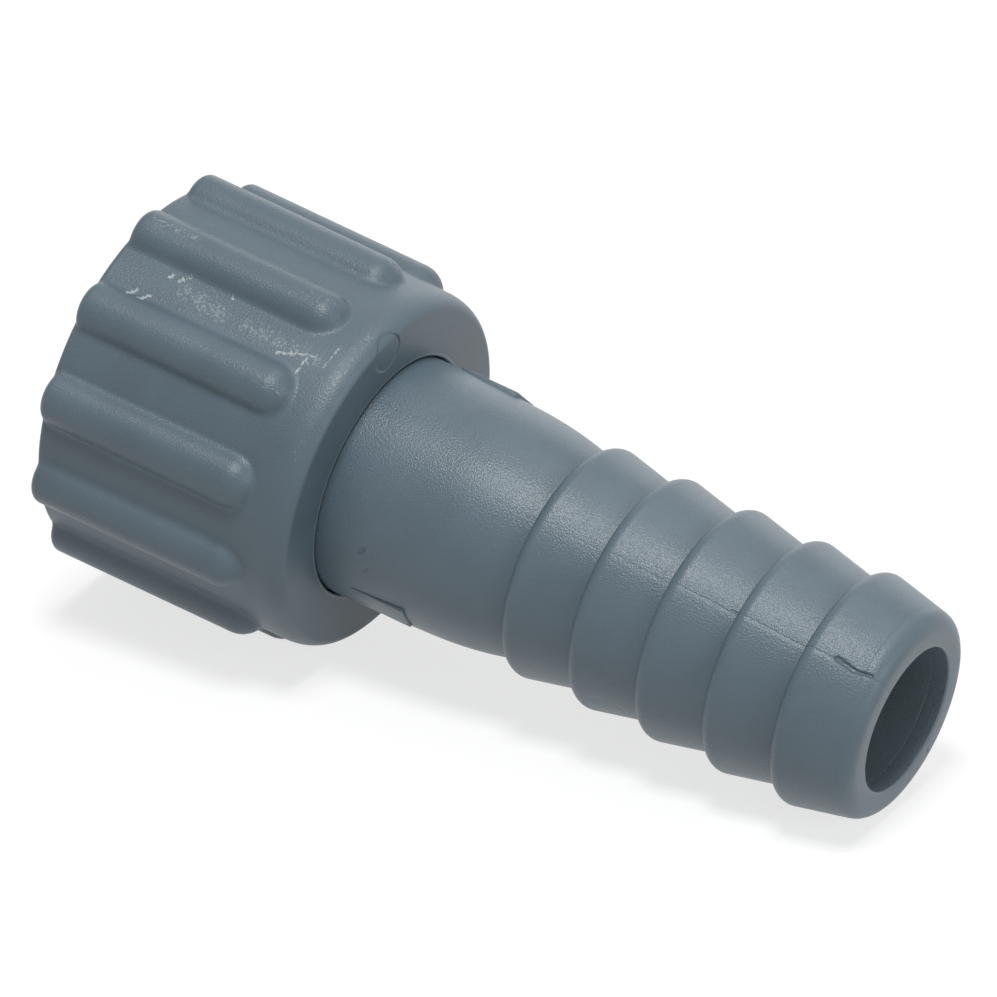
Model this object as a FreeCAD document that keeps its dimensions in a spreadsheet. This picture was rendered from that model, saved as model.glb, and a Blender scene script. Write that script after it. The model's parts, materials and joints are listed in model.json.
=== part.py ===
import FreeCAD, Part
import math
import os

import Sketcher

# A hose connector: a barbed hose tail whose flange is held in a ribbed union nut, with a flat
# washer in front of the flange. Lengths are millimetres. Every piece is drawn about one shared
# axis, X, with x = 0 at the nut's mouth and the hose tail's tip towards +X. The placement then
# lays the fitting down on two grip ribs and the last barb, with the floor at z = 0.

SIZES = [
    ("thread_minor_radius", 12.06, "crest of the female thread, G 3/4"),
    ("thread_depth", 1.19, "lead-in at the mouth, just over the depth of the thread"),
    ("nut_length", 24.0, "mouth of the nut to its front face"),
    ("nut_wall", 3.79, "crest of the thread to the plain wall between the ribs, at the mouth"),
    ("nut_draft", 0.25, "loss of radius of the wall and the ribs, mouth to front face"),
    ("nut_front_bevel", 0.85, "soft edge round the front face"),
    ("nut_mouth_bevel", 0.35, "soft edge round the mouth, between the ribs"),
    ("shoulder_thickness", 3.8, "front wall that pulls on the flange"),
    ("rib_count", 12, "grip ribs round the nut"),
    ("rib_sink", 0.92, "middle of a rib's round section, under the plain wall"),
    ("rib_radius", 2.4, "round section of a rib"),
    ("rib_length", 20.2, "mouth of the nut to the front end of a rib"),
    ("rib_setback", 0.1, "mouth of the nut to the back end of a rib"),
    ("rib_mouth_bevel", 0.6, "soft edge of a rib at the mouth"),
    ("rib_end_bevel", 1.6, "slope of a rib down to the wall at its front end"),
    ("pocket_step", 0.21, "crest of the thread to the plain pocket behind it"),
    ("flange_clearance", 0.25, "radial play of the flange in its pocket"),
    ("flange_height", 1.18, "sealing flange over the neck"),
    ("flange_thickness", 3.5, "sealing flange along the axis"),
    ("washer_clearance", 0.1, "radial play of the washer in the pocket"),
    ("washer_thickness", 2.5, "flat washer"),
    ("washer_width", 3.75, "flat washer, from its hole to its rim"),
    ("neck_clearance", 0.13, "radial play of the neck in the nut"),
    ("hole_lip", 0.2, "bevel round the hole for the neck, on the front face"),
    ("nut_play", 2.3, "travel of the nut along the neck, flange to lugs"),
    ("neck_draft", 0.29, "loss of radius of the neck, lugs to taper"),
    ("neck_front_length", 7.3, "length of the neck's draft, from the back of the lugs"),
    ("taper_length", 7.7, "round taper from the neck to the first barb"),
    ("taper_drop", 1.23, "loss of radius over the taper"),
    ("barb_count", 5, "barbs that hold the hose"),
    ("barb_pitch", 6.35, "one barb to the next"),
    ("barb_height", 1.4, "sharp corner of a barb over the foot of its cone"),
    ("barb_bevel", 0.75, "soft edge in place of that sharp corner"),
    ("stem_wall", 2.65, "waterway to the foot of a barb's cone"),
    ("bore_lip", 0.2, "bevel of the waterway at the tip"),
    ("tip_land", 0.65, "end of the last barb to the tip"),
    ("tip_bevel", 1.0, "soft edge round the tip"),
    ("lug_length", 5.4, "retaining lug, along the neck"),
    ("lug_width", 1.3, "retaining lug, across"),
    ("lug_height", 0.33, "retaining lug, over the neck"),
    ("lug_count", 2, "retaining lugs round the neck"),
    ("lug_round", 0.15, "top edges of a retaining lug"),
    ("lug_angle", 48.5, "turn of the upper lug from straight up, in degrees"),
]

# Radii and places that follow from the driving sizes, as expressions on the sheet. The thread
# is the standard one, so every radius of the nut and of the hose tail is counted from it.
THREAD_RADIUS = "Sizes.thread_minor_radius"
MOUTH_RADIUS = f"({THREAD_RADIUS} + Sizes.thread_depth)"
NUT_RADIUS = f"({THREAD_RADIUS} + Sizes.nut_wall)"
COLLAR_RADIUS = f"({NUT_RADIUS} - Sizes.nut_draft)"
RIB_MIDDLE = f"({NUT_RADIUS} - Sizes.rib_sink)"
RIB_SHOULDER = "(Sizes.rib_length - Sizes.rib_end_bevel)"
RIB_LEAN = "atan(Sizes.nut_draft / Sizes.nut_length)"
POCKET_RADIUS = f"({THREAD_RADIUS} - Sizes.pocket_step)"
WASHER_RADIUS = f"({POCKET_RADIUS} - Sizes.washer_clearance)"
WASHER_HOLE = f"({WASHER_RADIUS} - Sizes.washer_width)"
FLANGE_RADIUS = f"({POCKET_RADIUS} - Sizes.flange_clearance)"
NECK_RADIUS = f"({FLANGE_RADIUS} - Sizes.flange_height)"
HOLE_RADIUS = f"({NECK_RADIUS} + Sizes.neck_clearance)"
NECK_FRONT_RADIUS = f"({NECK_RADIUS} - Sizes.neck_draft)"
BARB_ROOT = f"({NECK_FRONT_RADIUS} - Sizes.taper_drop)"
BARB_CREST = f"({BARB_ROOT} + Sizes.barb_height)"
BORE_RADIUS = f"({BARB_ROOT} - Sizes.stem_wall)"
MID_WALL = f"({BARB_ROOT} - Sizes.stem_wall / 2)"
FLANGE_FRONT = "(Sizes.nut_length - Sizes.shoulder_thickness)"
FLANGE_BACK = f"({FLANGE_FRONT} - Sizes.flange_thickness)"
WASHER_BACK = f"({FLANGE_BACK} - Sizes.washer_thickness)"
LUG_BACK = "(Sizes.nut_length + Sizes.nut_play)"
LUG_FRONT = f"({LUG_BACK} + Sizes.lug_length)"
LUG_TOP = f"({NECK_RADIUS} + Sizes.lug_height)"
NECK_FRONT = f"({LUG_BACK} + Sizes.neck_front_length)"
NECK_SLOPE = "(Sizes.neck_draft / Sizes.neck_front_length)"
LUG_FALL = f"({NECK_SLOPE} * Sizes.lug_length)"
TAPER_TURN = f"(atan2(Sizes.taper_drop; Sizes.taper_length) - atan({NECK_SLOPE}))"
TAPER_CHORD = "hypot(Sizes.taper_length; Sizes.taper_drop)"
TAPER_BEND = f"({TAPER_CHORD} / (2 * sin({TAPER_TURN})))"
FIRST_BARB = f"({NECK_FRONT} + Sizes.taper_length)"
LAST_BARB = f"({FIRST_BARB} + (Sizes.barb_count - 1) * Sizes.barb_pitch)"
TIP = f"({LAST_BARB} + Sizes.barb_pitch + Sizes.tip_land)"
BARB_SLOPE = "(Sizes.barb_height / Sizes.barb_pitch)"
BARB_TOP = f"({BARB_CREST} - {BARB_SLOPE} * Sizes.barb_bevel)"
TIP_SIDE = f"({TIP} - Sizes.tip_bevel)"
TIP_RADIUS = f"({BARB_CREST} - {BARB_SLOPE} * ({TIP_SIDE} - {LAST_BARB}))"

LEFT_TURN = 1
RIGHT_TURN = -1
X_WAY = FreeCAD.Vector(1, 0, 0)
Y_WAY = FreeCAD.Vector(0, 1, 0)
Z_WAY = FreeCAD.Vector(0, 0, 1)
FULL_TURN = 360
EDGE_MATCH = 0.05


def fill_sheet(doc):
    """The sheet of driving sizes, one row each with its name, value and meaning."""
    sheet = doc.addObject("Spreadsheet::Sheet", "Sizes")
    for row, (name, value, meaning) in enumerate(SIZES, start=1):
        sheet.set(f"A{row}", name)
        sheet.set(f"B{row}", str(value))
        sheet.set(f"C{row}", meaning)
        sheet.setAlias(f"B{row}", name)
    doc.recompute()


def number(owner, expression):
    """The value that an expression on the sheet has now."""
    value = owner.evalExpression(str(expression))
    return float(getattr(value, "Value", value))


def line(along, out):
    """A straight stretch of an outline, to the point at these expressions."""
    return along, out, None, None


def bend(along, out, radius, turn):
    """A round stretch of an outline, of less than half a turn."""
    return along, out, radius, turn


def origin_item(body, role):
    """A plane or an axis of the body's own origin."""
    return [item for item in body.Origin.OriginFeatures if item.Role == role][0]


def arc_between(start, end, radius, turn):
    """The arc from start to end, and whether its own direction runs the same way."""
    chord = end - start
    side = Z_WAY.cross(chord).normalize() * turn
    rise = math.sqrt(radius**2 - (chord.Length / 2) ** 2)
    centre = (start + end) * 0.5 + side * rise
    first, last = (start, end) if turn == LEFT_TURN else (end, start)
    angles = [math.atan2(p.y - centre.y, p.x - centre.x) for p in (first, last)]
    return Part.ArcOfCircle(Part.Circle(centre, Z_WAY, radius), *angles)


def outline(body, name, stretches, raised=None, leaning=None):
    """A closed sketch along the axis. Each corner is held by its distances from the sketch's
    origin, which may be raised off the axis, with the whole sketch leaning in to the axis."""
    sketch = body.newObject("Sketcher::SketchObject", name)
    sketch.AttachmentSupport = [(origin_item(body, "XZ_Plane"), "")]
    sketch.MapMode = "FlatFace"
    if raised:
        inward = FreeCAD.Rotation(-Z_WAY, number(body, leaning))
        sketch.AttachmentOffset = FreeCAD.Placement(FreeCAD.Vector(), inward)
        sketch.setExpression("AttachmentOffset.Base.y", raised)
        sketch.setExpression("AttachmentOffset.Rotation.Angle", leaning)
    corners = [
        FreeCAD.Vector(number(body, along), number(body, out), 0)
        for along, out, _, _ in stretches
    ]
    starts = []
    ends = []
    for place, (_, _, radius, turn) in enumerate(stretches):
        start = corners[place - 1]
        end = corners[place]
        if radius is None:
            sketch.addGeometry(Part.LineSegment(start, end), False)
        else:
            curve = arc_between(start, end, number(body, radius), turn)
            sketch.addGeometry(curve, False)
            held = sketch.addConstraint(
                Sketcher.Constraint("Radius", place, number(body, radius))
            )
            sketch.setExpression(f"Constraints[{held}]", radius)
        starts.append(2 if turn == RIGHT_TURN else 1)
        ends.append(1 if turn == RIGHT_TURN else 2)
    for place, (along, out, _, _) in enumerate(stretches):
        after = (place + 1) % len(stretches)
        sketch.addConstraint(
            Sketcher.Constraint("Coincident", place, ends[place], after, starts[after])
        )
        for kind, expression in (("DistanceX", along), ("DistanceY", out)):
            held = sketch.addConstraint(
                Sketcher.Constraint(
                    kind, -1, 1, place, ends[place], number(body, expression)
                )
            )
            sketch.setExpression(f"Constraints[{held}]", str(expression))
    return sketch


def spin(body, name, sketch, cut=False):
    """The sketch turned once round its own horizontal axis, added or cut."""
    kind = "PartDesign::Groove" if cut else "PartDesign::Revolution"
    turned = body.newObject(kind, name)
    turned.Profile = sketch
    turned.ReferenceAxis = (sketch, ["H_Axis"])
    turned.Angle = FULL_TURN
    body.Tip = turned
    return turned


def pad_both_ways(body, name, sketch, width):
    """The sketch made solid, half of its width on each side of its plane."""
    pad = body.newObject("PartDesign::Pad", name)
    pad.Profile = sketch
    pad.SideType = "Symmetric"
    pad.setExpression("Length", width)
    body.Tip = pad
    return pad


def repeat_round(body, name, feature, count):
    """Copies of a feature, evenly round the body's X axis."""
    ring = body.newObject("PartDesign::PolarPattern", name)
    ring.Originals = [feature]
    ring.Axis = (origin_item(body, "X_Axis"), [""])
    ring.Angle = FULL_TURN
    ring.setExpression("Occurrences", count)
    body.Tip = ring
    return ring


def repeat_along(body, name, feature, count, pitch):
    """Copies of a feature in a row along the body's X axis."""
    row = body.newObject("PartDesign::LinearPattern", name)
    row.Originals = [feature]
    row.Direction = (origin_item(body, "X_Axis"), [""])
    row.Mode = "Spacing"
    row.setExpression("Offset", pitch)
    row.setExpression("Occurrences", count)
    body.Tip = row
    return row


def round_edges(body, name, radius, wanted):
    """Rounds the edges of the body that the test picks."""
    base = body.Tip
    edges = [
        f"Edge{place}"
        for place, edge in enumerate(base.Shape.Edges, start=1)
        if wanted(edge)
    ]
    rounded = body.newObject("PartDesign::Fillet", name)
    rounded.Base = (base, edges)
    rounded.setExpression("Radius", radius)
    body.Tip = rounded
    return rounded


def out_from_axis(point):
    """Distance of a point from the X axis, before the body is placed."""
    return math.hypot(point.y, point.z)


def make_union_nut(doc):
    """Ribbed nut: plain wall, round-topped ribs that slope off at the front, then the hollow."""
    body = doc.addObject("PartDesign::Body", "union_nut")
    wall = outline(
        body,
        "NutSection",
        [
            line("0", "0"),
            line("0", f"{NUT_RADIUS} - Sizes.nut_mouth_bevel"),
            line("Sizes.nut_mouth_bevel", NUT_RADIUS),
            line("Sizes.nut_length - Sizes.nut_front_bevel", COLLAR_RADIUS),
            line("Sizes.nut_length", f"{COLLAR_RADIUS} - Sizes.nut_front_bevel"),
            line("Sizes.nut_length", "0"),
        ],
    )
    spin(body, "NutWall", wall)
    rib_section = outline(
        body,
        "RibSection",
        [
            line("Sizes.rib_setback", "0"),
            line("Sizes.rib_setback", "Sizes.rib_mouth_bevel - Sizes.rib_radius"),
            line("Sizes.rib_setback + Sizes.rib_mouth_bevel", "-Sizes.rib_radius"),
            line(RIB_SHOULDER, "-Sizes.rib_radius"),
            line("Sizes.rib_length", "Sizes.rib_end_bevel - Sizes.rib_radius"),
            line("Sizes.rib_length", "0"),
        ],
        raised=RIB_MIDDLE,
        leaning=RIB_LEAN,
    )
    rib = spin(body, "Rib", rib_section)
    repeat_round(body, "Ribs", rib, "Sizes.rib_count")
    hollow = outline(
        body,
        "HollowSection",
        [
            line("0", "0"),
            line("0", MOUTH_RADIUS),
            line("Sizes.thread_depth", THREAD_RADIUS),
            line(f"{WASHER_BACK} - Sizes.pocket_step", THREAD_RADIUS),
            line(WASHER_BACK, POCKET_RADIUS),
            line(FLANGE_FRONT, POCKET_RADIUS),
            line(FLANGE_FRONT, HOLE_RADIUS),
            line("Sizes.nut_length - Sizes.hole_lip", HOLE_RADIUS),
            line("Sizes.nut_length", f"{HOLE_RADIUS} + Sizes.hole_lip"),
            line("Sizes.nut_length", "0"),
        ],
    )
    spin(body, "Hollow", hollow, cut=True)
    return body


def make_hose_tail(doc):
    """Flange, neck, taper and bored stem, then the barbs, the tip's edge and the lugs."""
    body = doc.addObject("PartDesign::Body", "hose_tail")
    stem = outline(
        body,
        "StemSection",
        [
            line(FLANGE_BACK, BORE_RADIUS),
            line(FLANGE_BACK, FLANGE_RADIUS),
            line(FLANGE_FRONT, FLANGE_RADIUS),
            line(FLANGE_FRONT, NECK_RADIUS),
            line(LUG_BACK, NECK_RADIUS),
            line(NECK_FRONT, NECK_FRONT_RADIUS),
            bend(FIRST_BARB, BARB_ROOT, TAPER_BEND, RIGHT_TURN),
            line(TIP, BARB_ROOT),
            line(TIP, f"{BORE_RADIUS} + Sizes.bore_lip"),
            line(f"{TIP} - Sizes.bore_lip", BORE_RADIUS),
        ],
    )
    spin(body, "Stem", stem)
    barb_section = outline(
        body,
        "BarbSection",
        [
            line(FIRST_BARB, MID_WALL),
            line(FIRST_BARB, f"{BARB_CREST} - Sizes.barb_bevel"),
            line(f"{FIRST_BARB} + Sizes.barb_bevel", BARB_TOP),
            line(f"{FIRST_BARB} + Sizes.barb_pitch", BARB_ROOT),
            line(f"{FIRST_BARB} + Sizes.barb_pitch", MID_WALL),
        ],
    )
    barb = spin(body, "Barb", barb_section)
    repeat_along(body, "Barbs", barb, "Sizes.barb_count", "Sizes.barb_pitch")
    tip_corner = outline(
        body,
        "TipCorner",
        [
            line(TIP_SIDE, TIP_RADIUS),
            line(TIP, f"{TIP_RADIUS} - Sizes.tip_bevel"),
            line(TIP, BARB_CREST),
            line(TIP_SIDE, BARB_CREST),
        ],
    )
    spin(body, "TipBevel", tip_corner, cut=True)
    lug_side = outline(
        body,
        "LugSide",
        [
            line(LUG_BACK, MID_WALL),
            line(LUG_BACK, LUG_TOP),
            line(LUG_FRONT, f"{LUG_TOP} - {LUG_FALL}"),
            line(LUG_FRONT, MID_WALL),
        ],
    )
    lug = pad_both_ways(body, "Lug", lug_side, "Sizes.lug_width")
    repeat_round(body, "Lugs", lug, "Sizes.lug_count")
    doc.recompute()
    round_edges(body, "LugEdges", "Sizes.lug_round", is_lug_top(body))
    return body


def is_lug_top(body):
    """A test that picks the edges round the top of a lug, which falls away as the neck does."""
    back = number(body, LUG_BACK)
    front = number(body, LUG_FRONT)
    top = number(body, LUG_TOP)
    slope = number(body, NECK_SLOPE)

    def is_on_top(point):
        level = top - slope * (point.x - back)
        beside = back - EDGE_MATCH < point.x < front + EDGE_MATCH
        return beside and abs(out_from_axis(point) - level) < EDGE_MATCH

    return lambda edge: all(is_on_top(vertex.Point) for vertex in edge.Vertexes)


def make_sealing_washer(doc):
    """Flat rubber ring between the flange and the end of the pipe that is screwed in."""
    body = doc.addObject("PartDesign::Body", "sealing_washer")
    ring = outline(
        body,
        "RingSection",
        [
            line(WASHER_BACK, WASHER_HOLE),
            line(WASHER_BACK, WASHER_RADIUS),
            line(FLANGE_BACK, WASHER_RADIUS),
            line(FLANGE_BACK, WASHER_HOLE),
        ],
    )
    spin(body, "Ring", ring)
    return body


def resting_tilt(body):
    """Angle of the axis when two ribs and the last barb's top share one floor, and the height
    of the axis over that floor at the nut's mouth. A rib rests where its front slope begins."""
    lean = math.radians(number(body, RIB_LEAN))
    half_gap = math.pi / number(body, "Sizes.rib_count")
    shoulder = number(body, RIB_SHOULDER)
    radius = number(body, "Sizes.rib_radius")
    rib_middle = number(body, RIB_MIDDLE) - shoulder * math.sin(lean)
    rib_out = rib_middle * math.cos(half_gap) + radius * math.cos(lean)
    rib_along = shoulder * math.cos(lean) + radius * math.sin(lean)
    run = number(body, f"{LAST_BARB} + Sizes.barb_bevel") - rib_along
    tilt = math.atan2(rib_out - number(body, BARB_TOP), run)
    height = rib_out * math.cos(tilt) + rib_along * math.sin(tilt)
    return tilt, height


def lay_down(turns):
    """Places every body: turned on the shared axis, tilted to rest, standing on z = 0, with
    the middle of the whole fitting over the origin."""
    tilt, height = resting_tilt(turns[0][0])
    tilted = FreeCAD.Rotation(Y_WAY, math.degrees(tilt))

    def place(shift):
        seat = FreeCAD.Placement(FreeCAD.Vector(shift, 0, height), tilted)
        for body, turn in turns:
            own = FreeCAD.Placement(FreeCAD.Vector(), FreeCAD.Rotation(X_WAY, turn))
            body.Placement = seat.multiply(own)

    place(0)
    whole = Part.Compound([body.Shape for body, _ in turns]).optimalBoundingBox(False)
    place(-whole.Center.x)


def check(doc, bodies):
    """Stops if any object of the document failed or any piece isn't one sound solid."""
    for item in doc.Objects:
        if "Invalid" in item.State or "Error" in item.State:
            raise RuntimeError(f"{item.Name} failed: {item.State}")
    for body in bodies:
        shape = body.Shape
        if shape.isNull() or not shape.isValid() or len(shape.Solids) != 1:
            raise RuntimeError(f"{body.Label} isn't one valid solid")
    for item in doc.Objects:
        if item.TypeId == "PartDesign::Groove":
            left = item.Shape.Volume
            if not left < item.BaseFeature.Shape.Volume:
                raise RuntimeError(f"{item.Name} cuts nothing")


def main():
    doc = FreeCAD.newDocument("HoseConnector")
    fill_sheet(doc)
    nut = make_union_nut(doc)
    washer = make_sealing_washer(doc)
    tail = make_hose_tail(doc)
    doc.recompute()
    half_gap = number(nut, "180 / Sizes.rib_count")
    lug_turn = -number(tail, "Sizes.lug_angle")
    lay_down([(nut, half_gap), (washer, 0), (tail, lug_turn)])
    doc.recompute()
    bodies = [nut, washer, tail]
    check(doc, bodies)
    os.makedirs("parts", exist_ok=True)
    for body in bodies:
        body.Label = body.Name
        body.Shape.exportStep(os.path.join("parts", f"{body.Label}.step"))
        print(body.Label, "volume", round(body.Shape.Volume, 1), "mm3")
    print("tilt", round(math.degrees(resting_tilt(nut)[0]), 3), "deg")


main()
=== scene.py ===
import json
import math

import bmesh
import bpy
from mathutils import Matrix, Vector

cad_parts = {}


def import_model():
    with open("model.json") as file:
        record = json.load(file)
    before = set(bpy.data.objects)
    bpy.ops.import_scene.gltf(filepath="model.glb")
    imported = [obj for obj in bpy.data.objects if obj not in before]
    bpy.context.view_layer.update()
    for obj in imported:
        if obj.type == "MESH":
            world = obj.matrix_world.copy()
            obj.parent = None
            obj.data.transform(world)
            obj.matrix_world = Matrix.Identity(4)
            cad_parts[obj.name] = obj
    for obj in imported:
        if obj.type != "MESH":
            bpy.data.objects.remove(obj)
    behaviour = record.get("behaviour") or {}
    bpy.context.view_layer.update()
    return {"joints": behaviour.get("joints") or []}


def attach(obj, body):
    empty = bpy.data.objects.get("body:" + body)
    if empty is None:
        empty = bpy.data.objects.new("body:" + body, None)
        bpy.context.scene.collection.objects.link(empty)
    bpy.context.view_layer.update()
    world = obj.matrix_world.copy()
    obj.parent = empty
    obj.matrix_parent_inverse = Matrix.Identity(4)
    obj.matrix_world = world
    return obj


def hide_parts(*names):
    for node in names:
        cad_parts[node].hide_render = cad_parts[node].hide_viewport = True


# A barbed hose tail held in a ribbed union nut, with a flat rubber washer in the nut.
# Every piece is turned round the fitting's own axis, in millimetres: x = 0 at the nut's
# mouth, the tip towards +x. The seat then carries it to where the CAD model lies.

MM = 0.001

# The union nut.
NUT_LENGTH = 24.0
NUT_MOUTH_RADIUS = 15.85
NUT_DRAFT = 0.25
NUT_MOUTH_ROUND = 0.45
NUT_FRONT_REACH = 2.1
NUT_FRONT_FALL = 1.05
NUT_STEPS = 576
FACE_MIDDLE = 12.0
HOLE_RADIUS = 10.55
HOLE_LIP = 0.25
SHOULDER = 20.2
POCKET_RADIUS = 11.85
POCKET_BACK = 14.2
POCKET_ROUND = 0.2
RIB_COUNT = 12
RIB_MIDDLE = 14.93
RIB_RADIUS = 2.39
RIB_START = 0.13
RIB_SHOULDER = 18.05
RIB_MOUTH_ROUND = 0.8
RIB_FOOT = 0.32
RIBS_INSIDE = 14
RIBS_END = 21
THREAD_CREST = 12.06
THREAD_ROOT = 13.22
THREAD_PITCH = 1.814
THREAD_START = 1.19
THREAD_END = 13.9
THREAD_RUN_OUT = 1.2
THREAD_FLAT = 0.12
THREAD_ROWS_PER_TURN = 9
LEAD_IN_RADIUS = 13.25

# Stations along its outer wall: the first ones, then runs of start, spacing and count.
MOUTH_ROWS = (0, 0.02, 0.06, 0.1, RIB_START - 0.01)
ROW_RUNS = ((2.2, 1.95, 9), (RIB_SHOULDER, 0.16, 11), (19.78, 0.09, 12), (21.3, 0, 1))
RIB_ROUND_STEPS = 8
FRONT_ROUND_STEPS = 11

# The rib's height is found between the wall and this far over the rib.
SEARCH_MARGIN = 1
SEARCH_STEPS = 18

# The washer.
WASHER_BACK = 14.2
WASHER_FRONT = 16.7
WASHER_RADIUS = 11.75
WASHER_HOLE = 8.0
WASHER_ROUND = 0.35
WASHER_STEPS = 144

# The hose tail.
FLANGE_BACK = 16.7
FLANGE_FRONT = 20.2
FLANGE_RADIUS = 11.6
FLANGE_ROUND = 0.25
NECK_FOOT_ROUND = 0.15
NECK_RADIUS = 10.42
NECK_DRAFT_START = 26.3
NECK_FRONT = 33.6
NECK_FRONT_RADIUS = 10.13
TAPER_BULGE = 0.225
TAPER_STEPS = 12
FIRST_BARB = 41.3
BARB_PITCH = 6.35
BARB_COUNT = 5
BARB_ROOT = 8.9
BARB_CREST = 10.3
BARB_CREST_ROUND = 1.0
BARB_VALLEY_ROUND = 0.1
TIP = 73.7
TIP_RADIUS = 8.76
TIP_ROUND = 1.5
BORE_RADIUS = 6.25
BORE_LIP = 0.2
TAIL_STEPS = 288
LUG_ROUND = 0.1
LUG_ROUND_STEPS = 3
LUG_DEPTH = 0.9
# The retaining lugs: angle round the axis from the top, back, front, width and flat top.
LUGS = [(-41.5, 26.3, 31.7, 4.0, 10.47), (127.0, 27.0, 32.1, 3.1, 10.34)]
SEAM_ANGLE = math.radians(41.5)

# How every piece is turned.
ARC_STEPS = 8
SECTORS = 12
MERGE_DISTANCE = 0.001
SHARP_ANGLE = math.radians(38)

# The photograph's camera: its picture in pixels, and how the fitting lies to it.
PHOTO_SIDE = 997
FOCAL_PIXELS = 8000
PIXELS_PER_MM = 12.65
SIGHTED_PLACE = 73.65
SIGHTED_PIXEL = (907.4, 719.9)
AXIS_SLOPE = math.radians(25.10)
AXIS_TOWARDS_VIEWER = math.radians(23.47)
UP_FROM_PICTURE_TOP = math.radians(36.5)
SENSOR_WIDTH = 36
NEAREST = 0.01
FURTHEST = 20

# Lamps as the photograph's camera sees them: right, down and away, then size and power.
LAMPS = [
    ("key_lamp", (-0.05, -0.70, -0.71), 0.30, 8.6),
    ("far_lamp", (0.20, -0.58, 0.77), 0.80, 1.6),
    ("top_lamp", (0.25, -0.94, -0.22), 0.60, 2.3),
    ("right_lamp", (0.75, -0.05, -0.65), 0.60, 3.2),
]
LAMP_DISTANCE = 1.2
WHITE = 1.0
SURROUND = 0.17
FLOOR_BOUNCE = 0.7
FLOOR_SEEN = 0.34
FLOOR_GLOW = 0.73
FLOOR_HALF = 3


def fitting_seat(frame):
    """Placement of the fitting's own axis in the row frame, in metres from millimetres."""
    swivel = next(j for j in frame["joints"] if j["name"] == "swivel")
    along = Vector(swivel["axis"]).normalized()
    across = Vector((0, 1, 0))
    outward = along.cross(across)
    mouth = Vector(swivel["pos_m"]) - along * FLANGE_BACK * MM
    turn = Matrix((along, across, outward)).transposed()
    return Matrix.Translation(mouth) @ turn.to_4x4() @ Matrix.Scale(MM, 4)


def rounded(corners):
    """A closed outline's points, with each corner (along, out, radius) eased by an arc."""
    points = []
    for place, (along, out, radius) in enumerate(corners):
        here = Vector((along, out))
        if not radius:
            points.append(here)
            continue
        before = Vector(corners[place - 1][:2]) - here
        after = Vector(corners[(place + 1) % len(corners)][:2]) - here
        half = before.angle(after) / 2
        setback = radius / math.tan(half)
        start = here + before.normalized() * setback
        middle = here + (before.normalized() + after.normalized()).normalized() * (
            radius / math.sin(half)
        )
        turn = (start - middle).angle_signed(
            here + after.normalized() * setback - middle
        )
        for step in range(ARC_STEPS + 1):
            arm = (start - middle).copy()
            arm.rotate(Matrix.Rotation(-turn * step / ARC_STEPS, 2))
            points.append(middle + arm)
    return points


def turned(bm, points, steps):
    """Turns a closed outline of (along, out) points once round the fitting's axis: one
    sector is spun, and its copies are set round and merged where they meet."""
    ring = [bm.verts.new((p[0], 0, p[1])) for p in points]
    edges = [bm.edges.new((ring[i - 1], ring[i])) for i in range(len(ring))]
    sector = math.tau / SECTORS
    bmesh.ops.spin(
        bm,
        geom=ring + edges,
        cent=(0, 0, 0),
        axis=(1, 0, 0),
        angle=sector,
        steps=steps // SECTORS,
        use_merge=False,
        use_duplicate=False,
    )
    first = bm.verts[:] + bm.edges[:] + bm.faces[:]
    for place in range(1, SECTORS):
        copy = bmesh.ops.duplicate(bm, geom=first)["geom"]
        bmesh.ops.rotate(
            bm,
            cent=(0, 0, 0),
            matrix=Matrix.Rotation(sector * place, 3, "X"),
            verts=[item for item in copy if isinstance(item, bmesh.types.BMVert)],
        )
    bmesh.ops.remove_doubles(bm, verts=bm.verts, dist=MERGE_DISTANCE)


def finished(bm, name, seat, material, body, node):
    """Seats the mesh in the row frame, as the piece of one body that stands for a node."""
    bmesh.ops.recalc_face_normals(bm, faces=bm.faces)
    bmesh.ops.transform(bm, matrix=seat, verts=bm.verts)
    mesh = bpy.data.meshes.new(name)
    bm.to_mesh(mesh)
    bm.free()
    mesh.shade_smooth()
    mesh.set_sharp_from_angle(angle=SHARP_ANGLE)
    mesh.materials.append(material)
    piece = bpy.data.objects.new(name, mesh)
    bpy.context.scene.collection.objects.link(piece)
    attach(piece, body)
    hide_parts(node)
    return piece


def wall_rows():
    """Stations along the nut's outer wall, close together where the ribs begin and end."""
    rows = list(MOUTH_ROWS)
    for step in range(RIB_ROUND_STEPS + 1):
        turn = math.pi / 2 * step / RIB_ROUND_STEPS
        rows.append(RIB_START + RIB_MOUTH_ROUND * (1 - math.cos(turn)))
    for start, spacing, count in ROW_RUNS:
        rows += [start + spacing * step for step in range(count)]
    front = NUT_LENGTH - NUT_FRONT_REACH
    for step in range(FRONT_ROUND_STEPS + 1):
        turn = math.pi / 2 * step / FRONT_ROUND_STEPS
        rows.append(front + NUT_FRONT_REACH * math.sin(turn))
    return rows


def eased(distance, radius):
    """How far a rounded edge of this radius falls back, at a distance from the edge."""
    if distance >= radius:
        return 0
    return radius - math.sqrt(radius**2 - (radius - distance) ** 2)


def wall_radius(along):
    """The nut's plain wall between the ribs, with its draft and its rounded edges."""
    drafted = NUT_MOUTH_RADIUS - NUT_DRAFT * along / NUT_LENGTH
    share = max(along - NUT_LENGTH + NUT_FRONT_REACH, 0) / NUT_FRONT_REACH
    front = NUT_FRONT_FALL * (1 - math.sqrt(max(1 - share**2, 0)))
    return drafted - eased(along, NUT_MOUTH_ROUND) - front


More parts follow.
